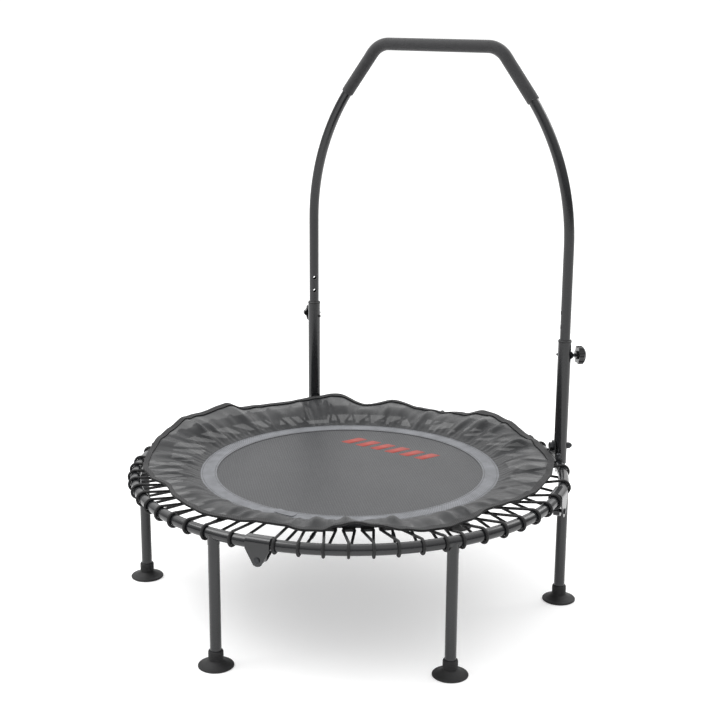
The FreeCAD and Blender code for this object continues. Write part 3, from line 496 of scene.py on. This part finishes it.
# %% [markdown]
# The long waves of the edge are a list of places: at this angle, the edge stands this far out and this high above the
# middle of the ring. Between two places the edge swings over on a smooth curve.

# %% The edge's long waves
EDGE = [(0, 442, 21), (8, 449, 20), (15, 453, 23), (27, 460, 24), (36, 467, 24), (48, 462, 28), (58, 460, 31),
        (67, 460, 43), (78, 460, 49), (86, 458, 30), (95, 458, 21), (103, 458, 25), (111, 460, 37), (120, 458, 22),
        (130, 460, 50), (137, 460, 44), (145, 459, 36), (154, 459, 36), (162, 460, 39), (169, 460, 58),
        (178, 460, 52), (188, 460, 57), (195, 462, 48), (202, 463, 43), (213, 466, 30), (222, 468, 22),
        (230, 455, 21), (240, 435, 23), (251, 448, 23), (264, 455, 20), (273, 443, 19), (280, 430, 20),
        (287, 434, 23), (294, 446, 21), (298, 440, 20), (302, 428, 27), (307, 432, 36), (312, 437, 31),
        (319.5, 443, 20), (325.5, 454, 18), (331, 456, 18), (339, 446, 20), (347, 429, 24), (354, 436, 24)]


def edge_at(angle):
    """How far out and how high the skirt's edge is at this angle, in metres."""
    angle %= 360
    for (a, r0, z0), (b, r1, z1) in zip(EDGE, EDGE[1:] + [(360,) + EDGE[0][1:]]):
        if a <= angle <= b:
            w = (angle - a) / (b - a)
            w = w * w * (3 - 2 * w)
            return (r0 + (r1 - r0) * w) / 1000, (z0 + (z1 - z0) * w) / 1000
    return EDGE[0][1] / 1000, EDGE[0][2] / 1000


print("edge: from", min(z for _, _, z in EDGE), "to", max(z for _, _, z in EDGE), "mm above the middle of the ring")

# %% [markdown]
# The gathers are sums of waves round the ring, each with its own phase, that lean a little as they run outwards. A
# slow noise makes some stretches fuller than others. The folds start as small puckers at the seam, grow to 10 mm and
# are held in again by the elastic at the edge. They only lift the cloth, so it never dips into the cords below.

# %% The folds
dice = random.Random(11)
WAVES = [(n, dice.uniform(0, 2 * math.pi), dice.uniform(-3, 3), share)
         for n, share in ((19, 0.45), (31, 0.5), (47, 0.45), (71, 0.22))]
PUCKERS = [(n, dice.uniform(0, 2 * math.pi)) for n in (113, 149)]
FOLD_DEPTH, EDGE_DEPTH = 0.0095, 0.0012
PUCKER_DEPTH, PUCKER_AT, PUCKER_SPREAD = 0.0009, 0.16, 0.13


def gathers(angle, t):
    """How far the folds lift the cloth, in metres. t runs from 0 at the seam to 1 at the edge."""
    a = math.radians(angle)
    place = Vector((math.cos(a) * 4.2, math.sin(a) * 4.2, t * 1.3))
    full = 0.55 + 0.9 * max(0.0, 0.5 + noise.noise(place))
    total = 0.0
    for n, phase, leaning, share in WAVES:
        drift = 1.6 * noise.noise(Vector((math.cos(a) * 7 + n, math.sin(a) * 7, t * 0.9)))
        total += share * (0.5 + 0.5 * math.sin(n * a + phase + leaning * t + drift)) ** 1.5
    depth = FOLD_DEPTH * max(0.0, math.sin(math.pi * t)) ** 1.2 + EDGE_DEPTH * t
    seam = sum(0.5 + 0.5 * math.sin(n * a + phase) for n, phase in PUCKERS)
    seam *= PUCKER_DEPTH * math.exp(-((t - PUCKER_AT) / PUCKER_SPREAD) ** 2)
    return depth * full * total + seam


print("folds at the middle of the front:", round(gathers(270, 0.5) * 1000, 2), "mm")

# %% [markdown]
# From the seam, the cloth climbs onto the cords within a fifth of its width. From there it rises to the place that
# the list gives for its edge, with a little fullness in between and the folds on top.

# %% Shape the skirt
RING_Z, SEAM_Z = 0.290, 0.2929
# The cloth clears the cords at this height. From this radius outwards, they rise towards the ring by this slope.
CORDS_Z, CORDS_R, CORDS_SLOPE = 0.2968, 0.380, 0.135
CLIMB, LIFT_FROM, FULLNESS = 0.2, 0.12, 0.004
for v in skirt.data.vertices:
    flat = v.co.to_2d().length
    angle = math.degrees(math.atan2(v.co.y, v.co.x)) % 360
    t = (flat - SEAM_R) / (EDGE_R - SEAM_R)
    out, high = edge_at(angle)
    radius = SEAM_R + (out - SEAM_R) * t
    over_cords = CORDS_Z + max(0.0, radius - CORDS_R) * CORDS_SLOPE
    rise = min(1.0, t / CLIMB)
    slope = SEAM_Z + (over_cords - SEAM_Z) * rise * rise * (3 - 2 * rise)
    top = max(RING_Z + high, over_cords + 0.001)
    lift = (top - over_cords) * max(0.0, (t - LIFT_FROM) / (1 - LIFT_FROM)) ** 1.35
    puff = FULLNESS * math.sin(math.pi * min(1.0, t * 1.15)) ** 2
    v.co.x, v.co.y = math.cos(math.radians(angle)) * radius, math.sin(math.radians(angle)) * radius
    v.co.z = slope + lift + puff + gathers(angle, t)
print("skirt stands from", round(min(v.co.z for v in skirt.data.vertices), 4), "to",
      round(max(v.co.z for v in skirt.data.vertices), 4))

# %% [markdown]
# The binding is a 10 mm black tape folded over the edge and sewn, with a 4 mm elastic inside it. The outer rings of
# faces are copied into their own piece, which gets a much thicker wall than the cloth, so it wraps it on both sides.

# %% Bind the edge
only(skirt)
bpy.ops.object.mode_set(mode="EDIT")
bpy.ops.mesh.select_all(action="DESELECT")
bpy.ops.object.mode_set(mode="OBJECT")
BOUND_FROM = COUNT * (len(STEPS) - 3) - COUNT / 2
for face in skirt.data.polygons:
    face.select = min(face.vertices) >= BOUND_FROM
bpy.ops.object.mode_set(mode="EDIT")
bpy.ops.mesh.duplicate()
bpy.ops.mesh.separate(type="SELECTED")
bpy.ops.object.mode_set(mode="OBJECT")
binding = [o for o in bpy.context.selected_objects if o is not skirt][0]
binding.name = binding.data.name = "skirt_binding"
apply_modifier(binding, "SOLIDIFY", thickness=0.005, offset=0)
settle(binding, 80)
wear(binding, binding_tape)
bend_at_fold(binding)
print("binding:", len(binding.data.polygons), "faces")

# %% [markdown]
# Thin polyester taffeta is a little see-through: its threads shine along the folds, and where it is stretched over
# something black, that shows. A share of a Transparent shader lets up to a tenth of the light straight through, more
# where the cloth is thin. The rest is a smooth, slightly sheeny cloth. Its threads are too fine for a render to
# show, so they are drawn 2.5 mm apart.

# %% Skirt material
taffeta, tree, bsdf, where = new_material("polyester_taffeta", "1f2022", 0.36, Sheen_Weight=0.12,
                                          Sheen_Roughness=0.35, Specular_IOR_Level=0.3)
strip = add_node(tree, "UVMap", {"uv_map": "strip"}).outputs["UV"]
THREAD = 2.5 * MM
threads = add_node(tree, "TexWave", {"bands_direction": "X"}, Vector=strip, Scale=WAVE / THREAD).outputs["Fac"]
picks = add_node(tree, "TexWave", {"bands_direction": "Y"}, Vector=strip, Scale=WAVE / THREAD).outputs["Fac"]
weave = add_node(tree, "Math", {"operation": "MULTIPLY"}, i0=threads, i1=picks).outputs[0]
cloudy = add_node(tree, "TexNoise", {}, Vector=where, Scale=16.0, Detail=5.0, Roughness=0.55).outputs["Fac"]
add_node(tree, "Mix", RGBA, bsdf.inputs["Base Color"], 2, i0=cloudy, i6=colour("0d0e10"), i7=colour("232426"))
add_node(tree, "MapRange", {}, bsdf.inputs["Roughness"], Value=cloudy, To_Min=0.28, To_Max=0.46)
add_node(tree, "Bump", {}, bsdf.inputs["Normal"], Height=weave, Distance=0.08 * MM)
clear = add_node(tree, "BsdfTransparent")
thin = add_node(tree, "TexNoise", {}, Vector=where, Scale=5.0, Detail=2.0).outputs["Fac"]
share = add_node(tree, "MapRange", {}, Value=thin, To_Min=0.0, To_Max=0.1).outputs["Result"]
sheer = add_node(tree, "MixShader", {}, tree.nodes["Material Output"].inputs["Surface"], Fac=share)
tree.links.new(bsdf.outputs[0], sheer.inputs[1])
tree.links.new(clear.outputs[0], sheer.inputs[2])
wear(skirt, taffeta)
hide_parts("skirt_rear", "skirt_front")
bend_at_fold(skirt)
area = sum(face.area for face in skirt.data.polygons)
print("skirt cloth:", round(area, 4), "square metres, a strip", round(area / 0.115, 3), "m long and 0.115 m wide")

# %% [markdown]
# ## The printed mark
# The mat has a small red print near the handlebar. Here it is a plain row of slanted bars. The ink is a thin layer
# of red plastisol on the cloth, so it is modelled as a film a tenth of a millimetre thick.

# %% Print the bars
film = primitive("mat_print", bpy.ops.mesh.primitive_plane_add, size=1, location=(0, 0, 0))
BAR_WIDE, BAR_LONG, BAR_STEP, BAR_SLANT = 0.026, 0.052, 0.042, 0.35
film.scale = (BAR_WIDE, BAR_LONG, 1)
settle(film)
bpy.ops.object.mode_set(mode="EDIT")
bpy.ops.mesh.bevel(offset=0.004, segments=4, affect="VERTICES")
bpy.ops.object.mode_set(mode="OBJECT")
for v in film.data.vertices:
    v.co.x += v.co.y * BAR_SLANT
bars = [film]
for i in range(1, 6):
    only(film)
    bpy.ops.object.duplicate()
    bar = bpy.context.active_object
    bar.location.x = i * BAR_STEP
    settle(bar)
    bars.append(bar)
bpy.ops.object.select_all(action="DESELECT")
for bar in bars:
    bar.select_set(True)
bpy.context.view_layer.objects.active = film
bpy.ops.object.join()
film.location = (-0.118, 0.184, 0.29079)
settle(film)
sag(film)
apply_modifier(film, "SOLIDIFY", thickness=0.0001, offset=1)

ink, tree, bsdf, where = new_material("red_plastisol_ink", "8c2b25", 0.5)
worn = add_node(tree, "TexNoise", {}, Vector=where, Scale=120.0, Detail=6.0, Roughness=0.7).outputs["Fac"]
add_node(tree, "Mix", RGBA, bsdf.inputs["Base Color"], 2, i0=worn, i6=colour("84281f"), i7=colour("a03629"))
add_node(tree, "MapRange", {}, bsdf.inputs["Roughness"], Value=worn, To_Min=0.42, To_Max=0.62)
add_node(tree, "Bump", {}, bsdf.inputs["Normal"], Height=worn, Distance=0.05 * MM)
wear(film, ink)
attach(film, "rear_half")
print("print:", len(film.data.polygons), "faces")

# %% [markdown]
# ## Floor and light
# The trampoline stands on a white acrylic floor with a painted glow: its material gives off a little light of its
# own, with no lamp below it, so that shadows stay pale. The surround is bright above and behind the trampoline and
# dimmer on the viewer's side: dark tubes then show a light line along their rims and stay dark in between.

# %% Floor
floor = primitive("floor", bpy.ops.mesh.primitive_plane_add, size=60, location=(0, 0, 0))
# The floor's emission is a painted glow: it gives off light of its own, with no lamp under it, so that the shadow
# under the trampoline stays pale.
painted_glow_floor, tree, bsdf, where = new_material("white_acrylic_with_painted_glow", "dedede", 0.9, Emission_Color=(1, 1, 1, 1),
                                        Emission_Strength=0.36)
haze = add_node(tree, "TexNoise", {}, Vector=where, Scale=3.0, Detail=2.0).outputs["Fac"]
add_node(tree, "Mix", RGBA, bsdf.inputs["Base Color"], 2, i0=haze, i6=colour("dcdcdc"), i7=colour("e0e0e0"))
wear(floor, painted_glow_floor)
print("floor:", painted_glow_floor.name)

# %% Surround
bpy.context.scene.view_settings.view_transform = "Standard"
world = bpy.data.worlds.new("studio")
bpy.context.scene.world = world
world.use_nodes = True
sky = world.node_tree
way = add_node(sky, "TexCoord").outputs["Generated"]
above = add_node(sky, "SeparateXYZ", {}, Vector=way).outputs["Z"]
dome = add_node(sky, "MapRange", {}, Value=above, From_Min=0.1, From_Max=0.8, To_Min=0.2, To_Max=1.4).outputs[0]
behind = add_node(sky, "VectorMath", {"operation": "DOT_PRODUCT"}, i0=way, i1=(-0.66, 0.75, 0)).outputs["Value"]
backdrop = add_node(sky, "MapRange", {}, Value=behind, From_Min=0.1, From_Max=0.8, To_Min=0, To_Max=0.8).outputs[0]
both = add_node(sky, "Math", {"operation": "ADD"}, i0=dome, i1=backdrop).outputs[0]
plain = add_node(sky, "LightPath").outputs["Is Camera Ray"]
power = add_node(sky, "Mix", {"data_type": "FLOAT"}, i0=plain, i2=both, i3=1.1).outputs[0]
sky.links.new(power, sky.nodes["Background"].inputs["Strength"])
sky.nodes["Background"].inputs["Color"].default_value = (1, 1, 1, 1)
print("surround:", world.name)

# %% [markdown]
# One big soft lamp hangs above and to the left, and a smaller one above and behind picks out the skirt's folds.

# %% Lamps
def soft_lamp(name, place, aim, size, power):
    """A square area lamp at place, facing aim."""
    data = bpy.data.lights.new(name, "AREA")
    data.size = size
    data.energy = power
    lamp = bpy.data.objects.new(name, data)
    bpy.context.scene.collection.objects.link(lamp)
    lamp.location = place
    lamp.rotation_euler = (Vector(aim) - Vector(place)).to_track_quat("-Z", "Y").to_euler()


soft_lamp("key", (-1.6, -1.2, 3.4), (0, 0, 0.3), 2.2, 75)
soft_lamp("back", (1.2, 2.6, 2.6), (0, 0, 0.5), 1.6, 30)
